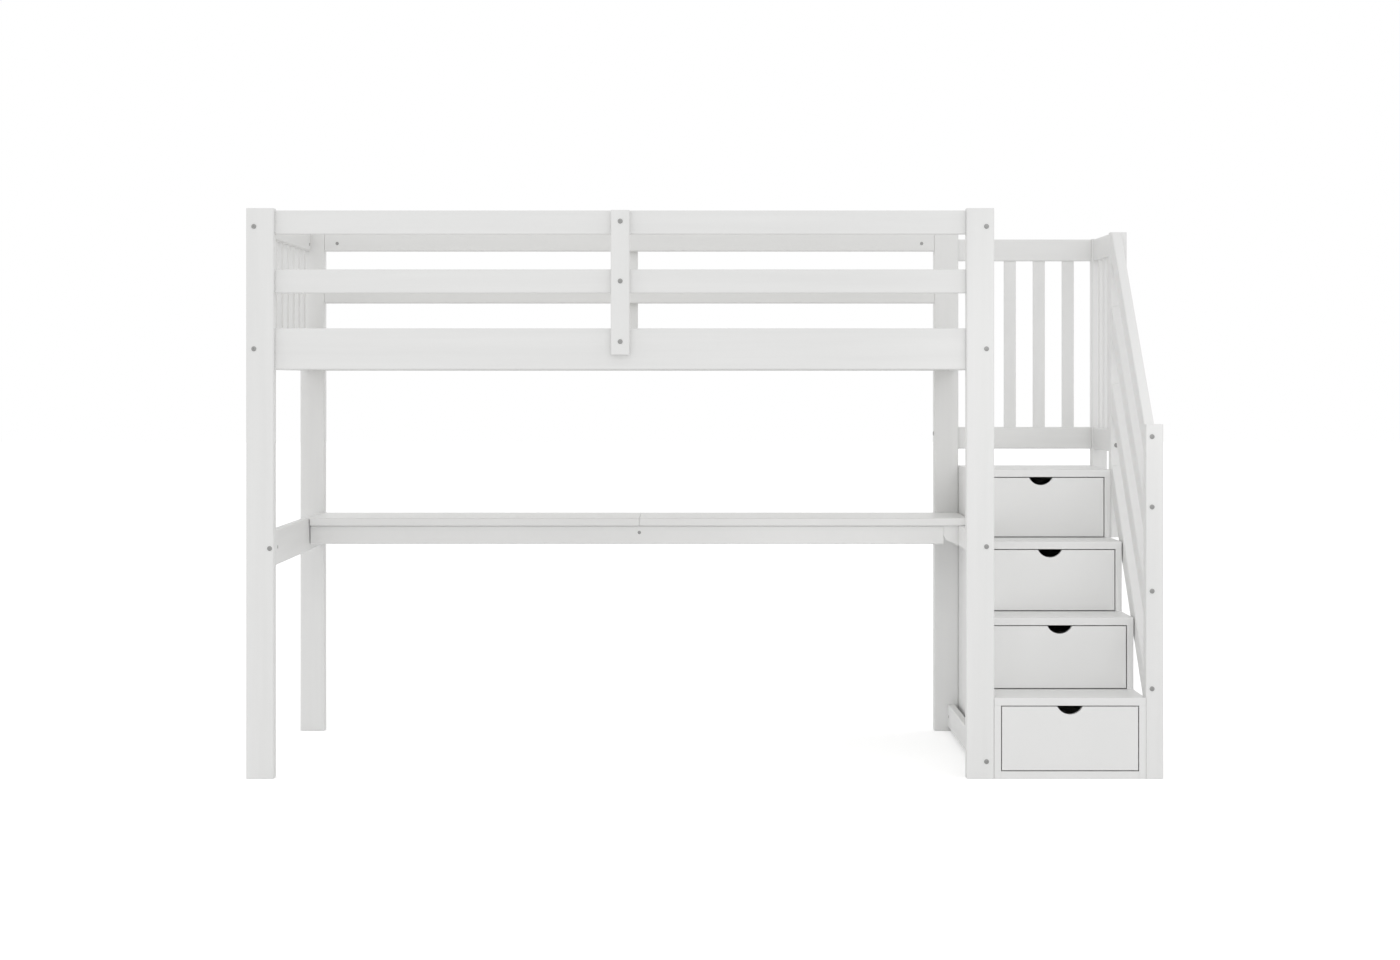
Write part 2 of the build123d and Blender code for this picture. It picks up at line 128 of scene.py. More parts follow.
class LoftbedFinish(bpy.types.PropertyGroup):
    """Colours and softness of the bed's surfaces."""

    paint: FloatVectorProperty(
        name="Paint", description="Colour of the painted wood and boards",
        subtype="COLOR", size=3, min=0.0, max=1.0, default=(0.80, 0.80, 0.793),
    )
    wash: FloatVectorProperty(
        name="Wash", description="Colour of the thinly washed slats and drawer boxes",
        subtype="COLOR", size=3, min=0.0, max=1.0, default=(0.71, 0.695, 0.655),
    )
    steel: FloatVectorProperty(
        name="Steel", description="Colour of the bolt heads and barrel nuts",
        subtype="COLOR", size=3, min=0.0, max=1.0, default=(0.34, 0.34, 0.335),
    )
    edge_round: FloatProperty(
        name="Edge round", description="Width of the worn arris on the wooden pieces",
        subtype="DISTANCE", unit="LENGTH", min=0.0, default=1.1 * MM,
    )
    drawer_round: FloatProperty(
        name="Drawer round", description="Width of the arris on the drawers and the cabinet",
        subtype="DISTANCE", unit="LENGTH", min=0.0, default=0.5 * MM,
    )
    front_trim: FloatProperty(
        name="Front trim", description="How far each edge of a drawer front is drawn in",
        subtype="DISTANCE", unit="LENGTH", min=0.0, default=0.5 * MM,
    )
    round_segments: IntProperty(
        name="Round segments", description="Facets across a rounded arris",
        min=1, max=6, default=2,
    )


class LoftbedHardware(bpy.types.PropertyGroup):
    """Sizes of the bolts and barrel nuts."""

    head_radius: FloatProperty(
        name="Head radius", description="Radius of a bolt head",
        subtype="DISTANCE", unit="LENGTH", min=0.0, default=6.5 * MM,
    )
    head_height: FloatProperty(
        name="Head height", description="How far a bolt head stands proud of the wood",
        subtype="DISTANCE", unit="LENGTH", min=0.0, default=1.5 * MM,
    )
    socket_radius: FloatProperty(
        name="Socket radius", description="Corner radius of the six-sided socket in a head",
        subtype="DISTANCE", unit="LENGTH", min=0.0, default=2.6 * MM,
    )
    nut_radius: FloatProperty(
        name="Nut radius", description="Radius of a barrel nut's face",
        subtype="DISTANCE", unit="LENGTH", min=0.0, default=5.0 * MM,
    )
    end_nut_inset: FloatProperty(
        name="End nut inset", description="Distance from an end rail's end to its barrel nut",
        subtype="DISTANCE", unit="LENGTH", min=0.0, default=28.0 * MM,
    )
    long_nut_inset: FloatProperty(
        name="Long nut inset", description="Distance from a long rail's end to its barrel nut",
        subtype="DISTANCE", unit="LENGTH", min=0.0, default=38.0 * MM,
    )


class LoftbedStage(bpy.types.PropertyGroup):
    """The floor, the light and the camera."""

    floor_color: FloatVectorProperty(
        name="Floor colour", description="Colour of the floor", subtype="COLOR",
        size=3, min=0.0, max=1.0, default=(0.96, 0.96, 0.96),
    )
    floor_lift: FloatProperty(
        name="Floor lift", description="How much paler the camera sees the floor than it is lit",
        min=0.0, default=0.3,
    )
    sky_strength: FloatProperty(
        name="Sky strength", description="Strength of the even light from all round",
        min=0.0, default=0.885,
    )
    key_strength: FloatProperty(
        name="Key strength", description="Strength of the wide soft light above the camera",
        min=0.0, default=0.3,
    )
    desk_fill: FloatProperty(
        name="Desk fill", description="Power of the lamp under the bed, aimed at the stairs",
        min=0.0, default=0.33,
    )
    stair_fill: FloatProperty(
        name="Stair fill", description="Power of the lamp before the stairs, aimed at the drawers",
        min=0.0, default=0.19,
    )
    camera_place: FloatVectorProperty(
        name="Camera place", description="Where the camera stands",
        subtype="TRANSLATION", unit="LENGTH", size=3, default=(-0.022, -8.089, 1.067),
    )
    lens: FloatProperty(
        name="Lens", description="Focal length in millimetres on a 36 mm wide sensor",
        min=1.0, default=72.64,
    )


# Measures taken from the frame


def box(node):
    """The low and high corners of a node, as vectors."""
    low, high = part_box(node)
    return Vector(low), Vector(high)


def centre(node):
    """The middle of a node's box."""
    low, high = box(node)
    return (low + high) / 2


def body_of(node):
    """The name of the body that a node rides on."""
    return frame["nodes"][node]["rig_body"]


def welded(node):
    """A mesh of a node's shape with its triangles joined and its flat faces whole."""
    shape = bmesh.new()
    shape.from_mesh(frame["nodes"][node].data)
    bmesh.ops.remove_doubles(shape, verts=shape.verts, dist=WELD)
    bmesh.ops.dissolve_limit(
        shape, angle_limit=FLAT_ANGLE, use_dissolve_boundaries=False,
        verts=shape.verts, edges=shape.edges,
    )
    return shape


def islands(shape):
    """The vertices of each separate solid in a mesh, as lists."""
    left = set(shape.verts)
    groups = []
    while left:
        group = [left.pop()]
        for vert in group:
            for edge in vert.link_edges:
                other = edge.other_vert(vert)
                if other in left:
                    left.remove(other)
                    group.append(other)
        groups.append(group)
    return groups


def span_of(verts):
    """The low and high corners of some vertices."""
    places = [vert.co for vert in verts]
    low = Vector([min(place[axis] for place in places) for axis in range(3)])
    high = Vector([max(place[axis] for place in places) for axis in range(3)])
    return low, high


def solids(node):
    """The low and high corners of each solid in a node, in order of place."""
    shape = welded(node)
    spans = [span_of(group) for group in islands(shape)]
    shape.free()
    return sorted(spans, key=lambda span: tuple(round(value, ORDER_DIGITS) for value in span[0]))


# Making pieces


def settle(piece, body, slot, *nodes):
    """Hang a finished piece on its body and stand it in for its nodes."""
    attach(piece, body)
    if nodes:
        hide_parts(*nodes)
    return piece


def make_object(name, mesh, material):
    """A new object in the scene with one material."""
    piece = bpy.data.objects.new(name, mesh)
    bpy.context.scene.collection.objects.link(piece)
    mesh.materials.clear()
    mesh.materials.append(material)
    return piece


def bore_rims(edges):
    """The closed rings of short edges round the bolt bores."""
    short = {edge for edge in edges if edge.calc_length() < RIM_EDGE}
    rims = set()
    while short:
        ring = [short.pop()]
        for edge in ring:
            for vert in edge.verts:
                for other in vert.link_edges:
                    if other in short:
                        short.remove(other)
                        ring.append(other)
        if len({vert for edge in ring for vert in edge.verts}) == len(ring):
            rims.update(ring)
    return rims


def soften(shape, width, segments):
    """Round the outer arrises of a shape, but not the rims of its bores."""
    sharp = [
        edge for edge in shape.edges
        if edge.is_convex and edge.calc_face_angle(0.0) > SHARP_ANGLE
    ]
    rims = bore_rims(sharp)
    bmesh.ops.bevel(
        shape, geom=[edge for edge in sharp if edge not in rims],
        offset=width, offset_type="OFFSET", segments=segments, profile=0.5,
        affect="EDGES", clamp_overlap=False,
    )


def draw_in(shape, width):
    """Draw the sides, top and bottom of an upright board in by a width."""
    low, high = span_of(shape.verts)
    middle, half = (low + high) / 2, (high - low) / 2
    for vert in shape.verts:
        for axis in (0, 2):
            share = 1.0 - width / half[axis]
            vert.co[axis] = middle[axis] + share * (vert.co[axis] - middle[axis])


def lay_grain(mesh, seed, direction=None):
    """Give every board its own coordinates, with the first one along its grain."""
    shape = bmesh.new()
    shape.from_mesh(mesh)
    layer = shape.verts.layers.float_vector.new("grain")
    random = Random(seed)
    for group in sorted(islands(shape), key=lambda verts: min(vert.index for vert in verts)):
        low, high = span_of(group)
        size = high - low
        along = Vector([float(axis == size[:].index(max(size))) for axis in range(3)])
        if direction is not None:
            along = Vector(direction).normalized()
        side = along.orthogonal().normalized()
        up = along.cross(side)
        shift = Vector([random.uniform(0.0, GRAIN_SHIFT) for axis in range(3)])
        for vert in group:
            place = vert.co - low
            vert[layer] = shift + Vector((place.dot(along), place.dot(side), place.dot(up)))
    shape.to_mesh(mesh)
    shape.free()


def smooth(piece):
    """Shade the rounded arrises smoothly and keep the faces flat."""
    piece.data.shade_smooth()
    piece.data.set_sharp_from_angle(angle=SHADE_ANGLE)
    normals = piece.modifiers.new("normals", "WEIGHTED_NORMAL")
    normals.keep_sharp = True
    normals.weight = 100


def dress(node, prefix, material, width, grain=None, trim=0.0):
    """A softened piece with the shape of a node, standing in for it in its finish."""
    finish = bpy.context.scene.loftbed_finish
    shape = welded(node)
    if trim:
        draw_in(shape, trim)
    soften(shape, width, finish.round_segments)
    mesh = bpy.data.meshes.new(f"{prefix}_{node}")
    shape.to_mesh(mesh)
    shape.free()
    lay_grain(mesh, node, grain)
    piece = make_object(f"{prefix}_{node}", mesh, material)
    smooth(piece)
    slot = next(
        part["material_slot"] for part in frame["record"]["subparts"] if part["node"] == node
    )
    return settle(piece, body_of(node), slot, node)


# Materials


def new_material(name):
    """A material with the nodes and the links of its tree, and its shader."""
    material = bpy.data.materials.new(name)
    material.use_nodes = True
    nodes, links = material.node_tree.nodes, material.node_tree.links
    return material, nodes, links, nodes["Principled BSDF"]


def grain_noise(nodes, links, scale, detail, roughness):
    """A noise drawn out along the grain of each board."""
    source = nodes.new("ShaderNodeAttribute")
    source.attribute_name = "grain"
    mapping = nodes.new("ShaderNodeMapping")
    mapping.inputs["Scale"].default_value = scale
    noise = nodes.new("ShaderNodeTexNoise")
    noise.inputs["Scale"].default_value = 1.0
    noise.inputs["Detail"].default_value = detail
    noise.inputs["Roughness"].default_value = roughness
    links.new(source.outputs["Vector"], mapping.inputs["Vector"])
    links.new(mapping.outputs["Vector"], noise.inputs["Vector"])
    return noise.outputs["Fac"]


def peel_noise(nodes, links, scale, detail):
    """An even noise over the surface, as a roller or a spray gun leaves."""
    place = nodes.new("ShaderNodeTexCoord")
    noise = nodes.new("ShaderNodeTexNoise")
    noise.inputs["Scale"].default_value = scale
    noise.inputs["Detail"].default_value = detail
    links.new(place.outputs["Object"], noise.inputs["Vector"])
    return noise.outputs["Fac"]


def shade_color(nodes, links, shader, factor, color, low, high):
    """Blend the base colour from a darker to a lighter share of a colour, by a factor."""
    ramp = nodes.new("ShaderNodeValToRGB")
    for stop, position, share in zip(ramp.color_ramp.elements, BLEND_SPAN, (low, high)):
        stop.position = position
        stop.color = (*[value * share for value in color], 1.0)
    links.new(factor, ramp.inputs["Fac"])
    links.new(ramp.outputs["Color"], shader.inputs["Base Color"])


def to_range(nodes, links, factor, low, high):
    """A number between two, by a factor."""
    spread = nodes.new("ShaderNodeMapRange")
    spread.inputs["To Min"].default_value = low
    spread.inputs["To Max"].default_value = high
    links.new(factor, spread.inputs["Value"])
    return spread.outputs["Result"]


def bump(nodes, links, height, distance, normal=None):
    """A bump of a height, on top of another one if there is one."""
    relief = nodes.new("ShaderNodeBump")
    relief.inputs["Distance"].default_value = distance
    links.new(height, relief.inputs["Height"])
    if normal is not None:
        links.new(normal, relief.inputs["Normal"])
    return relief.outputs["Normal"]


def painted_wood(color):
    """Satin paint on solid wood, which lets a little of the grain through."""
    material, nodes, links, shader = new_material("painted_wood")
    figure = grain_noise(nodes, links, scale=(1.6, 34.0, 34.0), detail=5.0, roughness=0.55)
    pores = grain_noise(nodes, links, scale=(14.0, 620.0, 620.0), detail=3.0, roughness=0.6)
    peel = peel_noise(nodes, links, scale=420.0, detail=2.0)
    shade_color(nodes, links, shader, figure, color, low=0.975, high=1.012)
    links.new(to_range(nodes, links, figure, low=0.5, high=0.4), shader.inputs["Roughness"])
    relief = bump(nodes, links, figure, distance=0.25 * MM)
    relief = bump(nodes, links, pores, distance=0.05 * MM, normal=relief)
    relief = bump(nodes, links, peel, distance=0.03 * MM, normal=relief)
    links.new(relief, shader.inputs["Normal"])
    return material


def painted_board(color):
    """Satin paint on smooth board, with only the peel of the paint."""
    material, nodes, links, shader = new_material("painted_board")
    cloud = peel_noise(nodes, links, scale=3.5, detail=3.0)
    peel = peel_noise(nodes, links, scale=380.0, detail=2.0)
    shade_color(nodes, links, shader, cloud, color, low=0.985, high=1.008)
    links.new(to_range(nodes, links, cloud, low=0.42, high=0.36), shader.inputs["Roughness"])
    links.new(bump(nodes, links, peel, distance=0.035 * MM), shader.inputs["Normal"])
    return material


def washed_wood(color):
    """Softwood under a thin white wash, with its grain plain to see."""
    material, nodes, links, shader = new_material("washed_wood")
    figure = grain_noise(nodes, links, scale=(2.2, 42.0, 42.0), detail=6.0, roughness=0.6)
    pores = grain_noise(nodes, links, scale=(18.0, 700.0, 700.0), detail=3.0, roughness=0.6)
    shade_color(nodes, links, shader, figure, color, low=0.93, high=1.03)
    links.new(to_range(nodes, links, pores, low=0.62, high=0.72), shader.inputs["Roughness"])
    relief = bump(nodes, links, figure, distance=0.3 * MM)
    relief = bump(nodes, links, pores, distance=0.08 * MM, normal=relief)
    links.new(relief, shader.inputs["Normal"])
    return material


def bolt_steel(color):
    """Satin grey steel of the bolts and nuts."""
    material, nodes, links, shader = new_material("bolt_steel")
    shader.inputs["Metallic"].default_value = 0.85
    brushed = peel_noise(nodes, links, scale=900.0, detail=3.0)
    shade_color(nodes, links, shader, brushed, color, low=0.92, high=1.05)
    links.new(to_range(nodes, links, brushed, low=0.38, high=0.5), shader.inputs["Roughness"])
    links.new(bump(nodes, links, brushed, distance=0.02 * MM), shader.inputs["Normal"])
    return material


FINISHES = {
    "painted_wood": (painted_wood, "paint"),
    "painted_board": (painted_board, "paint"),
    "bare_wood": (washed_wood, "wash"),
    "bolt_steel": (bolt_steel, "steel"),
}
finished = {}


def finish_of(slot):
    """The material of a slot, made once."""
    if slot not in finished:
        make, color = FINISHES[slot]
        finished[slot] = make(getattr(bpy.context.scene.loftbed_finish, color))
    return finished[slot]


# Geometry Nodes


class Tree:
    """A small helper that adds nodes to a Geometry Nodes tree and joins their sockets."""

    def __init__(self, name, inputs):
        self.group = bpy.data.node_groups.new(name, "GeometryNodeTree")
        face = self.group.interface
        face.new_socket("Geometry", in_out="INPUT", socket_type="NodeSocketGeometry")
        for label, kind, default in inputs:
            made = face.new_socket(label, in_out="INPUT", socket_type=f"NodeSocket{kind}")
            if default is not None:
                made.default_value = default
        face.new_socket("Geometry", in_out="OUTPUT", socket_type="NodeSocketGeometry")
        self.source = self.group.nodes.new("NodeGroupInput").outputs
        self.sink = self.group.nodes.new("NodeGroupOutput").inputs

    def add(self, kind, settings=None, **sockets):
        """Add a node, set what it is and feed its sockets from values or outputs."""
        node = self.group.nodes.new(kind)
        for key, value in (settings or {}).items():
            setattr(node, key, value)
        for label, value in sockets.items():
            self.feed(node.inputs[label.replace("_", " ")], value)
        return node

    def feed(self, socket, value):
        """Join an output to a socket, or write a value on it."""
        if isinstance(value, bpy.types.NodeSocket):
            self.group.links.new(value, socket)
        else:
            socket.default_value = value

    def end(self, geometry, material):
        """Turn instances into a mesh, give it its material and end the tree."""
        real = self.add("GeometryNodeRealizeInstances", Geometry=geometry)
        done = self.add("GeometryNodeSetMaterial", Geometry=real.outputs[0], Material=material)
        self.feed(self.sink["Geometry"], done.outputs[0])
        return self.group


def grow(name, mesh, group, inputs):
    """Run a tree on a starting mesh and return the plain mesh that it makes."""
    host = bpy.data.objects.new(name, mesh)
    bpy.context.scene.collection.objects.link(host)
    modifier = host.modifiers.new(name, "NODES")
    modifier.node_group = group
    for item in group.interface.items_tree:
        if item.item_type == "SOCKET" and item.in_out == "INPUT" and item.name in inputs:
            modifier[item.identifier] = inputs[item.name]
    bpy.context.view_layer.update()
    depsgraph = bpy.context.evaluated_depsgraph_get()
    made = bpy.data.meshes.new_from_object(host.evaluated_get(depsgraph))
    bpy.data.objects.remove(host)
    return made


def slat_row_tree():
    """A straight row of slats with rounded long edges, each the same size and evenly spaced."""
    tree = Tree("slat_row", [
        ("Start", "Vector", (0.0, 0.0, 0.0)), ("Step", "Vector", (0.1, 0.0, 0.0)),
        ("Count", "Int", 2), ("Width", "Float", 0.036), ("Thickness", "Float", 0.012),
        ("Length", "Float", 0.3), ("Edge", "Float", 0.0015),
        ("Turn", "Rotation", (0.0, 0.0, 0.0)), ("Material", "Material", None),
    ])
    source = tree.source
    outline = tree.add(
        "GeometryNodeCurvePrimitiveQuadrilateral",
        Width=source["Width"], Height=source["Thickness"],
    )
    rounded = tree.add(
        "GeometryNodeFilletCurve", {"mode": "POLY"},
        Curve=outline.outputs[0], Radius=source["Edge"], Count=2,
    )
    ends = []
    for share in (-0.5, 0.5):
        reach = tree.add("ShaderNodeMath", {"operation": "MULTIPLY"})
        tree.feed(reach.inputs[0], source["Length"])
        tree.feed(reach.inputs[1], share)
        ends.append(tree.add("ShaderNodeCombineXYZ", Z=reach.outputs[0]).outputs[0])
    line = tree.add("GeometryNodeCurvePrimitiveLine", Start=ends[0], End=ends[1])
    slat = tree.add(
        "GeometryNodeCurveToMesh",
        Curve=line.outputs[0], Profile_Curve=rounded.outputs[0], Fill_Caps=True,
    )
    row = tree.add(
        "GeometryNodeMeshLine",
        Count=source["Count"], Start_Location=source["Start"], Offset=source["Step"],
    )
    placed = tree.add(
        "GeometryNodeInstanceOnPoints",
        Points=row.outputs[0], Instance=slat.outputs[0], Rotation=source["Turn"],
    )
    return tree.end(placed.outputs[0], source["Material"])


# How a slat turns from upright, by the axes that it runs along and that its width lies across
SLAT_TURNS = {
    (2, 0): (0.0, 0.0, 0.0),
    (2, 1): (0.0, 0.0, radians(90.0)),
    (1, 0): (radians(90.0), 0.0, 0.0),
}


def slat_row(name, spans, along, edge, material):
    """The mesh of a row of slats that fills the given spans, each slat running along one axis."""
    low, high = spans[0]
    size = high - low
    step = (spans[-1][0] - low) / (len(spans) - 1)
    across = 0 if abs(step.x) > abs(step.y) else 1
    return grow(name, bpy.data.meshes.new(name), slat_row_tree(), {
        "Start": (low + high) / 2, "Step": step, "Count": len(spans), "Width": size[across],
        "Thickness": size[3 - along - across], "Length": size[along], "Edge": edge,
        "Turn": SLAT_TURNS[along, across], "Material": material,
    })


def lay_slats(name, spans, along, slot, node, seed):
    """A row of slats with its grain, standing in for the solids of a node."""
    material = finish_of(slot)
    mesh = slat_row(name, spans, along, bpy.context.scene.loftbed_finish.edge_round, material)
    lay_grain(mesh, seed)
    piece = make_object(name, mesh, material)
    smooth(piece)
    settle(piece, body_of(node), slot, node)


def head_tree():
    """Round heads set on points, each turned to face the way that its point says."""
    tree = Tree("heads", [("Head", "Object", None), ("Material", "Material", None)])
    head = tree.add("GeometryNodeObjectInfo", Object=tree.source["Head"])
    facing = tree.add(
        "GeometryNodeInputNamedAttribute", {"data_type": "FLOAT_VECTOR"}, Name="facing"
    )
    turn = tree.add(
        "FunctionNodeAlignRotationToVector", {"axis": "Z"}, Vector=facing.outputs[0]
    )
    placed = tree.add(
        "GeometryNodeInstanceOnPoints", Points=tree.source["Geometry"],
        Instance=head.outputs["Geometry"], Rotation=turn.outputs[0],
    )
    return tree.end(placed.outputs[0], tree.source["Material"])


def add_ring(shape, sides, reach, height, six_sided):
    """Add a round or six-sided ring of vertices about Z, or a single one where it has no reach."""
    if reach == 0.0:
        return [shape.verts.new((0.0, 0.0, height))]
    half_side = HEXAGON_SIDE / 2
    ring = []
    for side in range(sides):
        angle = FULL_TURN * side / sides
        radius = reach
        if six_sided:
            radius *= cos(half_side) / cos(angle % HEXAGON_SIDE - half_side)
        ring.append(shape.verts.new((radius * cos(angle), radius * sin(angle), height)))
    return ring


def turned(name, sides, profile, socket=()):
    """A closed shape about Z from the radius and height of its round and its six-sided rings."""
    shape = bmesh.new()
    rings = [add_ring(shape, sides, *pair, six_sided=False) for pair in profile]
    rings += [add_ring(shape, sides, *pair, six_sided=True) for pair in socket]
    for low, high in zip(rings, rings[1:]):
        for side in range(sides):
            after = (side + 1) % sides
            corners = [
                low[side % len(low)], low[after % len(low)],
                high[after % len(high)], high[side % len(high)],
            ]
            shape.faces.new(list(dict.fromkeys(corners)))
    for cap in (rings[0][::-1], rings[-1]):
        if len(cap) > 1:
            shape.faces.new(cap)
    bmesh.ops.recalc_face_normals(shape, faces=shape.faces)
    mesh = bpy.data.meshes.new(name)
    shape.to_mesh(mesh)
    shape.free()
    return mesh


def bolt_head(radius, height, socket_radius):
    """A flat round head with a soft rim and a six-sided socket, its seat at Z 0."""
    rim = min(height / 2, HEAD_RIM)
    slope = 0.3 * rim
    floor = height - min(0.8 * height, SOCKET_DEPTH)
    return turned("head", HEAD_SIDES, [
        (radius, 0.0), (radius, height - rim), (radius - slope, height - slope),
        (radius - rim, height),
    ], [(socket_radius, height), (socket_radius, floor)])


def nut_face(radius):
    """The face of a barrel nut, a low disc with a soft rim and a dimple, its seat at Z 0."""
    rim, height, dimple = 0.3 * MM, 0.5 * MM, 0.2 * MM
    lip, well = 0.45 * radius, 0.4 * radius
    return turned("nut", NUT_SIDES, [
        (0.0, 0.0), (radius, 0.0), (radius, rim), (radius - rim, height),
        (lip, height), (well, dimple), (0.0, dimple),
    ])


def set_heads(name, seats, head_mesh, *nodes):
    """Heads on all the seats, which are pairs of a place and the way that the head faces."""
    points = bpy.data.meshes.new(name)
    points.from_pydata([place for place, facing in seats], [], [])
    facings = points.attributes.new("facing", "FLOAT_VECTOR", "POINT")
    for item, (place, facing) in zip(facings.data, seats):
        item.vector = facing
    pattern = bpy.data.objects.new(f"{name}_pattern", head_mesh)
    bpy.context.scene.collection.objects.link(pattern)
    material = finish_of("bolt_steel")
    mesh = grow(name, points, head_tree(), {"Head": pattern, "Material": material})
    bpy.data.objects.remove(pattern)
    piece = make_object(name, mesh, material)
    piece.data.shade_smooth()
    piece.data.set_sharp_from_angle(angle=SHARP_ANGLE)
    return settle(piece, "root", "bolt_steel", *nodes)


# Operators, one for each group of like pieces


class LoftbedOperator:
    """What the operators share: each one works whenever a scene is open."""

    bl_options = {"REGISTER", "UNDO"}

    @classmethod
    def poll(cls, context):
        return context.scene is not None


def dress_all(nodes, slot, width, grain=None, trim=0.0):
    """Dress several nodes of one finish."""
    prefix = "washed" if slot == "bare_wood" else "painted"
    for node in nodes:
        dress(node, prefix, finish_of(slot), width, grain, trim)


class LOFTBED_OT_posts(LoftbedOperator, bpy.types.Operator):
    """Dress the bed posts and the three posts of the stair rails"""

    bl_idname = "loftbed.posts"
    bl_label = "Posts"

    def execute(self, context):
        posts = [
            "post_front_left", "post_front_right", "post_back_left", "post_back_right",
            "newel_post", "middle_post", "corner_post",
        ]
        dress_all(posts, "painted_wood", context.scene.loftbed_finish.edge_round)
        return {"FINISHED"}


class LOFTBED_OT_rails(LoftbedOperator, bpy.types.Operator):
    """Dress the side rails, guard rails, end rails and centre uprights"""

    bl_idname = "loftbed.rails"
    bl_label = "Rails"

    def execute(self, context):
        rails = [
            "side_rail_front", "side_rail_back", "guard_top_front", "guard_top_back",
            "guard_middle_front", "guard_middle_back", "upright_front", "upright_back",
            "left_end_rail", "left_top_rail", "right_end_rail", "entry_guard_rail",
            "entry_guard_upright", "left_desk_rail", "right_desk_rail", "right_floor_rail",
        ]
        dress_all(rails, "painted_wood", context.scene.loftbed_finish.edge_round)
        return {"FINISHED"}


class LOFTBED_OT_guard_slats(LoftbedOperator, bpy.types.Operator):
    """Grow the upright slats of the guards"""

    bl_idname = "loftbed.guard_slats"
    bl_label = "Guard slats"

    def execute(self, context):
        middle = centre("end_guard_slats").x
        ends = solids("end_guard_slats")
        left = [span for span in ends if span[0].x < middle]
        entry = [span for span in ends if span[0].x > middle]
        rows = {
            "painted_left_end_slats": ("end_guard_slats", left),
            "painted_entry_slats": ("end_guard_slats", entry),
            "painted_back_guard_slats": ("back_guard_slats", solids("back_guard_slats")),
            "painted_side_guard_slats": ("side_guard_slats", solids("side_guard_slats")),
        }
        for name, (node, spans) in rows.items():
            lay_slats(name, spans, 2, "painted_wood", node, seed=name)
        return {"FINISHED"}


class LOFTBED_OT_bed_base(LoftbedOperator, bpy.types.Operator):
    """Lay the ledges and the mattress slats"""

    bl_idname = "loftbed.bed_base"
    bl_label = "Bed base"

    def execute(self, context):
        node = "mattress_slats"
        dress_all(["slat_ledges"], "bare_wood", context.scene.loftbed_finish.edge_round)
        lay_slats("washed_mattress_slats", solids(node), 1, "bare_wood", node, seed=node)
        return {"FINISHED"}


class LOFTBED_OT_desk(LoftbedOperator, bpy.types.Operator):
    """Dress the desk boards and what carries them"""

    bl_idname = "loftbed.desk"
    bl_label = "Desk"

    def execute(self, context):
        width = context.scene.loftbed_finish.edge_round
        boards = [
            "desk_board_left", "desk_board_right", "desk_apron", "desk_back_rail", "desk_bracket",
        ]
        dress_all(boards, "painted_board", width)
        dress_all(["desk_batten"], "bare_wood", width)
        return {"FINISHED"}


class LOFTBED_OT_stair_cabinet(LoftbedOperator, bpy.types.Operator):
    """Dress the stepped panels, the treads and the boards between them"""

    bl_idname = "loftbed.stair_cabinet"
    bl_label = "Stair cabinet"

    def execute(self, context):
        width = context.scene.loftbed_finish.drawer_round
        boards = ["stair_panel_left", "stair_panel_right", "stair_base_board", "stair_back_panel"]
        dress_all(boards, "painted_board", width)
        dress_all(["tread_1", "tread_2", "tread_3", "tread_4"], "painted_board", width, RIGHT)
        return {"FINISHED"}


class LOFTBED_OT_stair_rails(LoftbedOperator, bpy.types.Operator):
    """Dress the slanted rails and the guard rails round the top step"""

    bl_idname = "loftbed.stair_rails"
    bl_label = "Stair rails"

    def execute(self, context):
        width = context.scene.loftbed_finish.edge_round
        first, second = box("tread_1"), box("tread_2")
        slope = Vector((0.0, second[0].y - first[0].y, second[1].z - first[1].z))
        dress_all(["slanted_rails"], "painted_wood", width, slope)
        dress_all(["back_guard_rails", "side_guard_rails"], "painted_wood", width)
        return {"FINISHED"}


class LOFTBED_OT_drawers(LoftbedOperator, bpy.types.Operator):
    """Dress the drawer fronts, boxes and bottoms"""

    bl_idname = "loftbed.drawers"
    bl_label = "Drawers"

    def execute(self, context):
        finish = context.scene.loftbed_finish
        width = finish.drawer_round
        for number in range(1, 5):
            front = f"drawer_{number}_front"
            dress_all([front], "painted_board", width, trim=finish.front_trim)
            dress_all([f"drawer_{number}_box", f"drawer_{number}_bottom"], "bare_wood", width)
        return {"FINISHED"}


def post_faces(side="left"):
    """Where the outer faces of the front and back posts at one end stand along Y."""
    return box(f"post_front_{side}")[0].y, box(f"post_back_{side}")[1].y


def framed_seats():
    """Seats of the bolts that the frame has, read from their solids."""
    seats = []
    front, back = post_faces()
    middle = centre("connector_bolts").y
    for low, high in solids("connector_bolts"):
        seat = (low + high) / 2
        seat.y, facing = (front, FRONT) if seat.y < middle else (back, BACK)
        seats.append((seat, facing))
    return seats


def guard_heights():
    """Bolt heights on a centre upright: the top guard, the middle guard and the side rail."""
    return [
        box("guard_top_front")[1].z - GUARD_BOLT_DROP,
        centre("guard_middle_front").z,
        box("side_rail_front")[1].z - SIDE_BOLT_DROP,
    ]


def floor_rail_seats():
    """Seats of the two bolts of the floor rail."""
    rail = centre("right_floor_rail")
    front, back = post_faces("right")
    return [(Vector((rail.x, front, rail.z)), FRONT), (Vector((rail.x, back, rail.z)), BACK)]


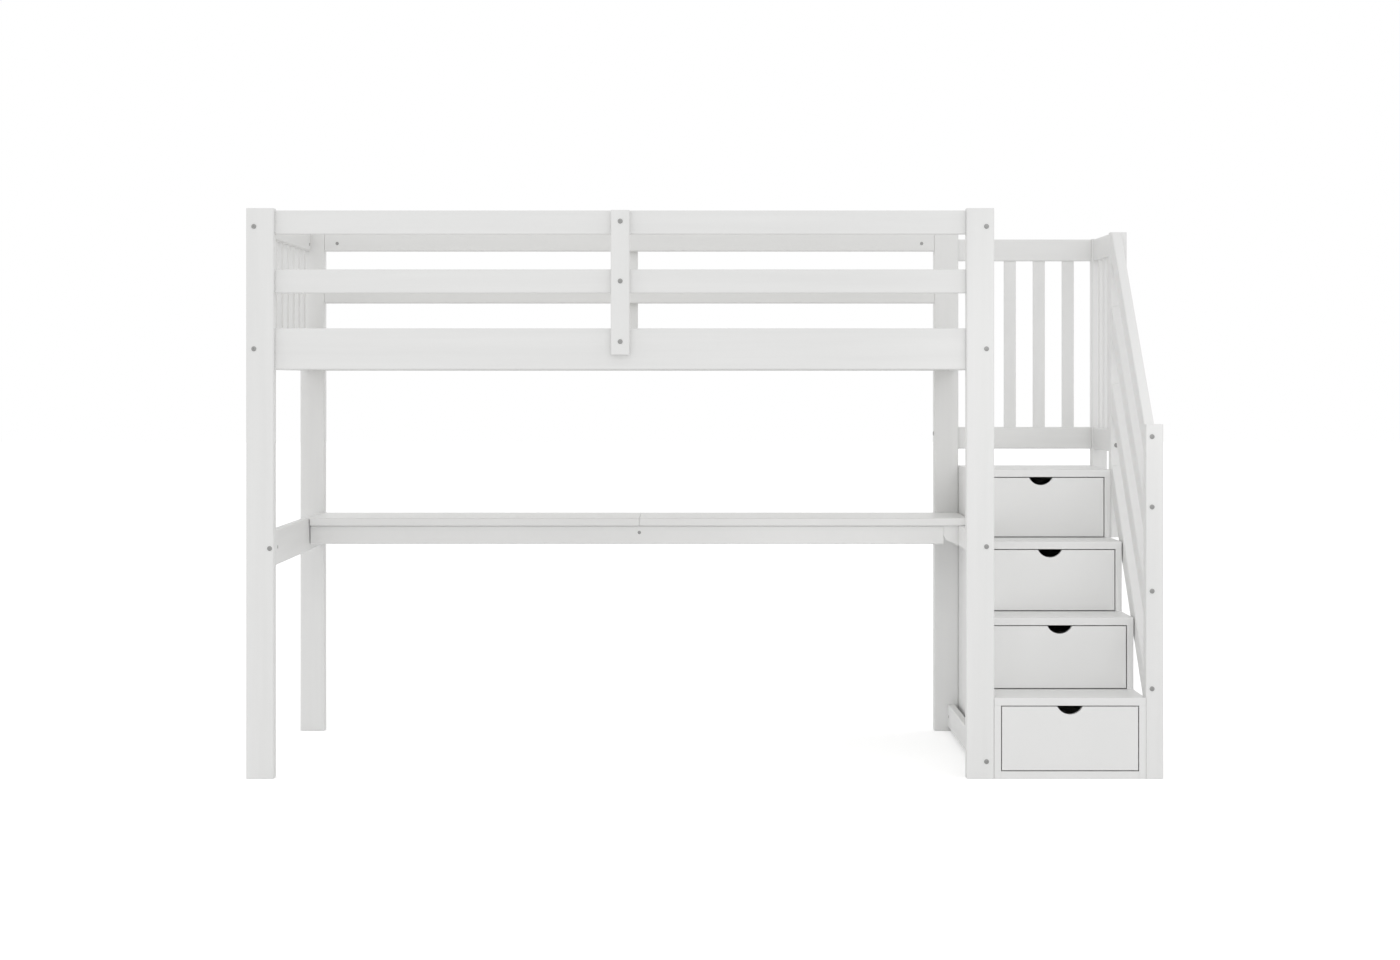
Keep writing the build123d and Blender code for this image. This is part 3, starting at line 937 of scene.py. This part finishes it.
def small_seats():
    """Seats of the smaller bolts, on the faces of the pieces that they hold."""
    front, back = post_faces()
    seats = floor_rail_seats()
    for z in guard_heights():
        seats.append((Vector((centre("upright_front").x, front, z)), FRONT))
        seats.append((Vector((centre("upright_back").x, back, z)), BACK))
    guard_x = centre("side_guard_rails").x
    rails = solids("side_guard_rails")
    foot = rails[0][0].z + FOOT_BOLT_RISE
    seats.append((Vector((guard_x, box("middle_post")[0].y, foot)), FRONT))
    for low, high in rails:
        seats.append((Vector((guard_x, back, (low.z + high.z) / 2)), BACK))
    low, high = solids("back_guard_rails")[0]
    middle = (low + high) / 2
    inner = box("post_back_right")[0].x
    seats.append((Vector((inner, middle.y, middle.z + CORNER_BOLT_RISE)), LEFT))
    return seats


def end_nut_seats(inset):
    """Seats of the barrel nuts on the inner faces of the end rails, where their bolts run in."""
    rails = {
        "left_top_rail": RIGHT, "left_end_rail": RIGHT, "left_desk_rail": RIGHT,
        "right_end_rail": LEFT, "entry_guard_rail": LEFT, "right_desk_rail": LEFT,
        "right_floor_rail": LEFT,
    }
    seats = []
    for node, facing in rails.items():
        low, high = box(node)
        face = high.x if facing == RIGHT else low.x
        for place, way in framed_seats() + floor_rail_seats():
            if low.x < place.x < high.x and low.z < place.z < high.z:
                y = low.y + inset if way == FRONT else high.y - inset
                seats.append((Vector((face, y, place.z)), facing))
    return seats


def long_nut_seats(inset):
    """Seats of the barrel nuts on the inner faces of the side rails and guard rails."""
    rises = {"side_rail": 0.0, "guard_middle": GUARD_NUT_RISE, "guard_top": -GUARD_NUT_RISE}
    seats = []
    for side, inner, facing in (("front", 1, BACK), ("back", 0, FRONT)):
        for rail, rise in rises.items():
            span = box(f"{rail}_{side}")
            height = centre(f"{rail}_{side}").z + rise
            for x in (span[0].x + inset, span[1].x - inset):
                seats.append((Vector((x, span[inner].y, height)), facing))
    return seats


def seam_screw_seat():
    """Seat of the screw in the apron under the seam of the desk."""
    seam = (box("desk_board_left")[1].x + box("desk_board_right")[0].x) / 2
    height = centre("desk_apron").z + SEAM_SCREW_RISE
    return Vector((seam, box("desk_apron")[0].y, height)), FRONT


class LOFTBED_OT_bolts(LoftbedOperator, bpy.types.Operator):
    """Set the bolt heads on the posts and uprights, and the barrel nuts on the rails"""

    bl_idname = "loftbed.bolts"
    bl_label = "Bolts"

    def execute(self, context):
        hardware = context.scene.loftbed_hardware
        head = bolt_head(hardware.head_radius, hardware.head_height, hardware.socket_radius)
        set_heads("connector_bolt_heads", framed_seats(), head, "connector_bolts")
        set_heads("small_bolt_heads", small_seats(), head)
        nuts = end_nut_seats(hardware.end_nut_inset) + long_nut_seats(hardware.long_nut_inset)
        nuts.append(seam_screw_seat())
        set_heads("barrel_nuts", nuts, nut_face(hardware.nut_radius))
        return {"FINISHED"}


class LOFTBED_OT_stage(LoftbedOperator, bpy.types.Operator):
    """Lay the floor and set the light and the camera"""

    bl_idname = "loftbed.stage"
    bl_label = "Stage"

    def execute(self, context):
        stage = context.scene.loftbed_stage
        lay_floor(stage.floor_color, stage.floor_lift)
        light_sky(context.scene, stage.sky_strength)
        hang_key(stage.key_strength)
        hang_fill("desk_fill", stage.desk_fill, *DESK_FILL)
        hang_fill("stair_fill", stage.stair_fill, *STAIR_FILL)
        place_camera(context.scene, stage)
        context.scene.view_settings.view_transform = "Standard"
        return {"FINISHED"}


def lay_floor(color, lift):
    """A wide pale floor under the posts, which the camera alone sees a little paler."""
    shape = bmesh.new()
    bmesh.ops.create_grid(shape, x_segments=1, y_segments=1, size=FLOOR_REACH)
    mesh = bpy.data.meshes.new("floor")
    shape.to_mesh(mesh)
    shape.free()
    material, nodes, links, shader = new_material("floor")
    shader.inputs["Roughness"].default_value = 0.9
    shader.inputs["Specular IOR Level"].default_value = 0.0
    mottle = peel_noise(nodes, links, scale=1.5, detail=2.0)
    shade_color(nodes, links, shader, mottle, color, low=0.995, high=1.0)
    camera = nodes.new("ShaderNodeLightPath").outputs["Is Camera Ray"]
    shader.inputs["Emission Color"].default_value = WHITE
    glow = to_range(nodes, links, camera, low=0.0, high=lift)
    links.new(glow, shader.inputs["Emission Strength"])
    make_object("floor", mesh, material)


def light_sky(scene, strength):
    """An even white light from all round, which the camera and mirrors see as plain white."""
    world = bpy.data.worlds.new("sky")
    scene.world = world
    world.use_nodes = True
    nodes, links = world.node_tree.nodes, world.node_tree.links
    background = nodes["Background"]
    background.inputs["Color"].default_value = WHITE
    path = nodes.new("ShaderNodeLightPath")
    seen = path.outputs["Is Camera Ray"]
    for ray in ("Is Glossy Ray", "Is Transmission Ray"):
        either = nodes.new("ShaderNodeMath")
        either.operation = "MAXIMUM"
        links.new(seen, either.inputs[0])
        links.new(path.outputs[ray], either.inputs[1])
        seen = either.outputs[0]
    power = to_range(nodes, links, seen, low=strength, high=1.0)
    links.new(power, background.inputs["Strength"])


def hang_lamp(name, kind, power):
    """A new lamp in the scene, and the light in it."""
    light = bpy.data.lights.new(name, kind)
    light.energy = power
    lamp = bpy.data.objects.new(name, light)
    bpy.context.scene.collection.objects.link(lamp)
    return lamp, light


def hang_key(strength):
    """A wide soft light that comes down from above the camera."""
    lamp, light = hang_lamp("key", "SUN", strength)
    light.angle = SOFT_ANGLE
    lamp.rotation_euler = (KEY_TILT, 0.0, 0.0)


def hang_fill(name, power, place, aim):
    """A square lamp that lifts the shade in one corner, unseen and without a highlight."""
    lamp, light = hang_lamp(name, "AREA", power)
    light.size = FILL_SIZE
    light.spread = SOFT_ANGLE
    light.specular_factor = 0.0
    lamp.location = place
    lamp.rotation_euler = (Vector(aim) - Vector(place)).to_track_quat("-Z", "Y").to_euler()
    lamp.visible_camera = False


def place_camera(scene, stage):
    """A level camera that looks straight along the depth of the bed."""
    data = bpy.data.cameras.new("camera")
    data.sensor_width = SENSOR_WIDTH
    data.lens = stage.lens
    data.shift_x, data.shift_y = CAMERA_SHIFT
    data.clip_end = CAMERA_REACH
    camera = bpy.data.objects.new("camera", data)
    camera.location = stage.camera_place
    camera.rotation_euler = (radians(90.0), 0.0, 0.0)
    scene.collection.objects.link(camera)
    scene.camera = camera


class LOFTBED_PT_panel(bpy.types.Panel):
    """The bed's operators and their settings, in the sidebar"""

    bl_idname = "LOFTBED_PT_panel"
    bl_label = "Loft bed"
    bl_space_type = "VIEW_3D"
    bl_region_type = "UI"
    bl_category = "Loft bed"

    def draw(self, context):
        for operator in OPERATORS:
            self.layout.operator(operator.bl_idname)
        for group, kind in GROUPS.items():
            for name in kind.__annotations__:
                self.layout.prop(getattr(context.scene, group), name)


OPERATORS = (
    LOFTBED_OT_posts, LOFTBED_OT_rails, LOFTBED_OT_guard_slats, LOFTBED_OT_bed_base,
    LOFTBED_OT_desk, LOFTBED_OT_stair_cabinet, LOFTBED_OT_stair_rails, LOFTBED_OT_drawers,
    LOFTBED_OT_bolts, LOFTBED_OT_stage,
)
GROUPS = {
    "loftbed_finish": LoftbedFinish,
    "loftbed_hardware": LoftbedHardware,
    "loftbed_stage": LoftbedStage,
}


def register():
    """Register the settings, the operators and the panel."""
    for name, group in GROUPS.items():
        bpy.utils.register_class(group)
        setattr(bpy.types.Scene, name, PointerProperty(type=group))
    for operator in OPERATORS:
        bpy.utils.register_class(operator)
    bpy.utils.register_class(LOFTBED_PT_panel)


def unregister():
    """Take the panel, the operators and the settings away again."""
    bpy.utils.unregister_class(LOFTBED_PT_panel)
    for operator in reversed(OPERATORS):
        bpy.utils.unregister_class(operator)
    for name, group in GROUPS.items():
        delattr(bpy.types.Scene, name)
        bpy.utils.unregister_class(group)


def main():
    """Make every piece in order."""
    register()
    bpy.ops.loftbed.posts()
    bpy.ops.loftbed.rails()
    bpy.ops.loftbed.guard_slats()
    bpy.ops.loftbed.bed_base()
    bpy.ops.loftbed.desk()
    bpy.ops.loftbed.stair_cabinet()
    bpy.ops.loftbed.stair_rails()
    bpy.ops.loftbed.drawers()
    bpy.ops.loftbed.bolts()
    bpy.ops.loftbed.stage()


if __name__ == "__main__":
    main()
